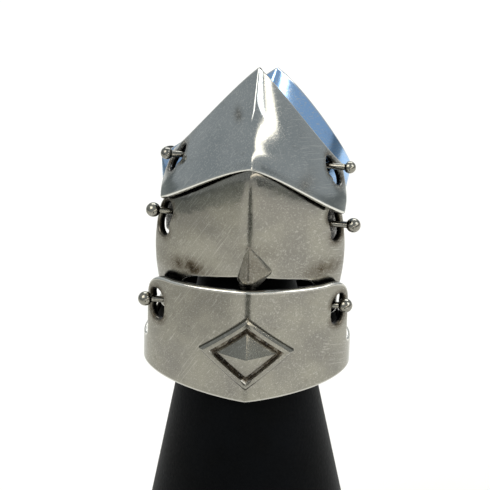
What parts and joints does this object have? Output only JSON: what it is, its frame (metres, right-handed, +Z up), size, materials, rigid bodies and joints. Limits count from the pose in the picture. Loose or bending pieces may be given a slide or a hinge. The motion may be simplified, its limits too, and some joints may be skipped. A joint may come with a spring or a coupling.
{
  "type": "knuckle armor ring on a cone stand",
  "caption": "Long finger ring of gabled silver plates hinged on ball-headed pins like an armored knuckle, with a lozenge boss, seated on a plain black cone stand.",
  "frame": {"origin": "centre of the cone's foot, on the surface that it stands on", "axes": "+Z up along the cone, -Y to the front that the shield and ridges face, +X to the right seen from the front"},
  "size_m": [0.03, 0.03, 0.0764],
  "materials": {
    "silver": "worn polished silver, lightly tarnished",
    "bright_silver": "bright polished silver, finely scratched",
    "black_stand": "matte black"
  },
  "bodies": {
    "base": {"stand_cone": "black_stand", "base_band": "silver"},
    "middle": {"middle_plate": "silver", "pin_lower_left": "silver", "pin_lower_right": "silver"},
    "tip": {"tip_band": "bright_silver", "pin_middle_left": "silver", "pin_middle_right": "silver", "pin_upper_left": "silver", "pin_upper_right": "silver"},
    "upper": {"upper_plate": "bright_silver"}
  },
  "joints": [
    {"name": "lower_hinge", "type": "hinge", "parent": "base", "child": "middle", "pos_m": [0.00025, -0.0036, 0.0479], "axis": [-0.9996, 0.0174, 0.0209], "range_deg": [-3, 12]},
    {"name": "middle_hinge", "type": "hinge", "parent": "middle", "child": "tip", "pos_m": [0.0004, -0.0027, 0.0579], "axis": [-0.9973, 0.0523, 0.0523], "range_deg": [0, 10]},
    {"name": "upper_hinge", "type": "hinge", "parent": "tip", "child": "upper", "pos_m": [0.00078, -0.00202, 0.06449], "axis": [-0.9973, 0.0523, 0.0523], "range_deg": [0, 10]}
  ]
}
